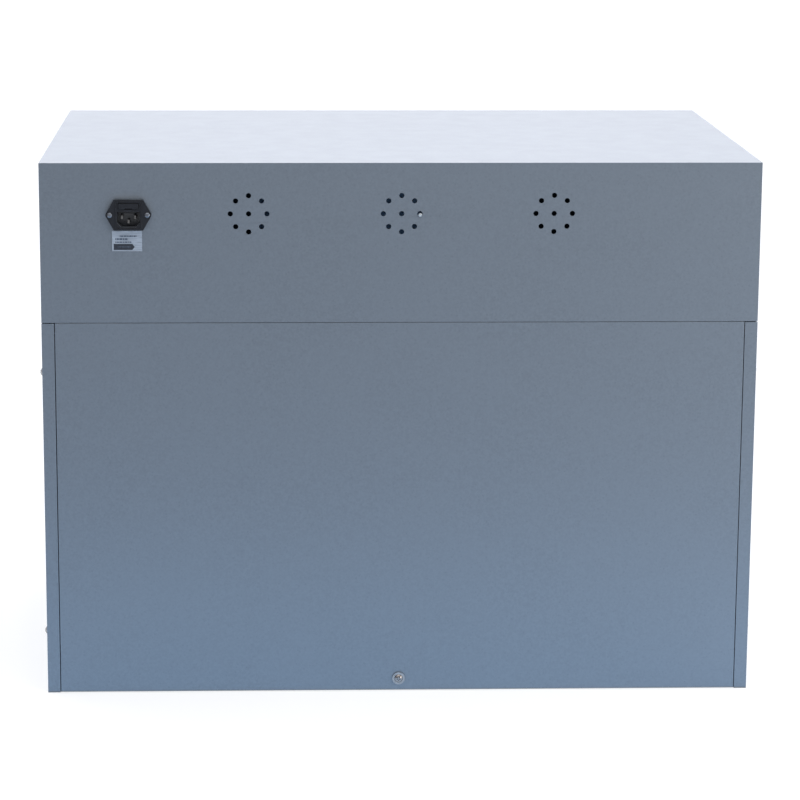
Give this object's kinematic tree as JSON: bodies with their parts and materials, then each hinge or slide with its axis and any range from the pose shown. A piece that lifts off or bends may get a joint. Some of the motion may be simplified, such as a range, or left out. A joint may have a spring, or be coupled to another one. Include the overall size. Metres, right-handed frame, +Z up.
{
  "type": "phone charging kiosk",
  "caption": "Counter-top sheet-steel charging kiosk with windowed lockers, a hinged control header with display and coin acceptor, rear vents and a fused mains inlet.",
  "frame": {"origin": "centre of the cabinet's footprint, on the surface it stands on", "axes": "+Z up, -Y towards the user at the locker doors, +Y out of the back with the mains inlet, +X to the user's right"},
  "size_m": [0.7772, 0.5182, 0.585],
  "materials": {
    "powder_coat": "fine mottled blue-grey powder coat",
    "galvanised_steel": "galvanised sheet",
    "zinc_fixing": "bright zinc plate",
    "black_plastic": "fine-textured moulding",
    "screen": "glossy panel in a matt back shell",
    "clear_pane": "clear polished pane",
    "contact_metal": "nickel plate",
    "label_film": "silvered film",
    "supply_case": "perforated metal case",
    "circuit_board": "lacquered board",
    "lead_sheath": "matt sheath"
  },
  "bodies": {
    "cabinet": {"top_hood": "powder_coat", "left_side_panel": "powder_coat", "right_side_panel": "powder_coat", "rear_post_left": "galvanised_steel", "rear_post_right": "galvanised_steel", "base_pan": "powder_coat", "rear_access_panel": "powder_coat", "locker_front_frame": "powder_coat", "bay_deck": "galvanised_steel", "locker_back_wall": "powder_coat", "locker_shelf": "powder_coat", "locker_divider_1": "powder_coat", "locker_divider_2": "powder_coat", "locker_divider_3": "powder_coat", "lock_rail_1": "galvanised_steel", "lock_rail_2": "galvanised_steel", "lock_rail_3": "galvanised_steel", "lock_rail_4": "galvanised_steel", "cash_tray": "galvanised_steel", "power_supply": "supply_case", "controller_board": "circuit_board", "charging_rail_lower": "circuit_board", "charging_rail_upper": "circuit_board", "mains_lead": "lead_sheath", "inlet_housing": "black_plastic", "inlet_contacts": "contact_metal", "inlet_screw_left": "zinc_fixing", "inlet_screw_right": "zinc_fixing", "rating_label": "label_film", "rear_panel_screw": "zinc_fixing", "side_screw_left_lower": "zinc_fixing", "side_screw_left_upper": "zinc_fixing", "side_screw_right_lower": "zinc_fixing", "side_screw_right_upper": "zinc_fixing"},
    "door_1": {"locker_door_1": "powder_coat", "door_window_1": "clear_pane"},
    "door_2": {"locker_door_2": "powder_coat", "door_window_2": "clear_pane"},
    "door_3": {"locker_door_3": "powder_coat", "door_window_3": "clear_pane"},
    "door_4": {"locker_door_4": "powder_coat", "door_window_4": "clear_pane"},
    "door_5": {"locker_door_5": "powder_coat", "door_window_5": "clear_pane"},
    "door_6": {"locker_door_6": "powder_coat", "door_window_6": "clear_pane"},
    "door_7": {"locker_door_7": "powder_coat", "door_window_7": "clear_pane"},
    "door_8": {"locker_door_8": "powder_coat", "door_window_8": "clear_pane"},
    "service_door": {"service_door": "powder_coat", "display_bezel": "black_plastic", "display_module": "screen", "coin_faceplate": "black_plastic", "coin_mechanism": "black_plastic", "service_lock_barrel": "zinc_fixing"},
    "coin_return_flap": {"coin_return_flap": "black_plastic"},
    "reject_button": {"reject_button": "zinc_fixing"},
    "service_lock": {"service_lock_plug": "zinc_fixing"},
    "fuse_drawer": {"fuse_drawer": "black_plastic"}
  },
  "joints": [
    {"name": "door_1_hinge", "type": "hinge", "parent": "cabinet", "child": "door_1", "pos_m": [-0.3532, -0.2465, 0.21415], "axis": [0, 0, -1], "range_deg": [0, 110]},
    {"name": "door_2_hinge", "type": "hinge", "parent": "cabinet", "child": "door_2", "pos_m": [-0.16935, -0.2465, 0.21415], "axis": [0, 0, -1], "range_deg": [0, 110]},
    {"name": "door_3_hinge", "type": "hinge", "parent": "cabinet", "child": "door_3", "pos_m": [0.0145, -0.2465, 0.21415], "axis": [0, 0, -1], "range_deg": [0, 110]},
    {"name": "door_4_hinge", "type": "hinge", "parent": "cabinet", "child": "door_4", "pos_m": [0.19835, -0.2465, 0.21415], "axis": [0, 0, -1], "range_deg": [0, 110]},
    {"name": "door_5_hinge", "type": "hinge", "parent": "cabinet", "child": "door_5", "pos_m": [-0.3532, -0.2465, 0.0174], "axis": [0, 0, -1], "range_deg": [0, 110]},
    {"name": "door_6_hinge", "type": "hinge", "parent": "cabinet", "child": "door_6", "pos_m": [-0.16935, -0.2465, 0.0174], "axis": [0, 0, -1], "range_deg": [0, 110]},
    {"name": "door_7_hinge", "type": "hinge", "parent": "cabinet", "child": "door_7", "pos_m": [0.0145, -0.2465, 0.0174], "axis": [0, 0, -1], "range_deg": [0, 110]},
    {"name": "door_8_hinge", "type": "hinge", "parent": "cabinet", "child": "door_8", "pos_m": [0.19835, -0.2465, 0.0174], "axis": [0, 0, -1], "range_deg": [0, 110]},
    {"name": "service_door_hinge", "type": "hinge", "parent": "cabinet", "child": "service_door", "pos_m": [-0.364, -0.2465, 0.413], "axis": [0, 0, -1], "range_deg": [0, 100]},
    {"name": "coin_return_flap_hinge", "type": "hinge", "parent": "service_door", "child": "coin_return_flap", "pos_m": [0.19, -0.25105, 0.47005], "axis": [1, 0, 0], "range_deg": [0, 60]},
    {"name": "reject_button_slide", "type": "slide", "parent": "service_door", "child": "reject_button", "axis": [0, 1, 0], "range_m": [0, 0.003], "stiffness_N_per_m": 150, "springref_m": -0.002},
    {"name": "service_lock_turn", "type": "hinge", "parent": "service_door", "child": "service_lock", "pos_m": [0.345, -0.25, 0.49125], "axis": [0, -1, 0], "range_deg": [0, 90]},
    {"name": "fuse_drawer_slide", "type": "slide", "parent": "cabinet", "child": "fuse_drawer", "axis": [0, 1, 0], "range_m": [0, 0.012]}
  ]
}
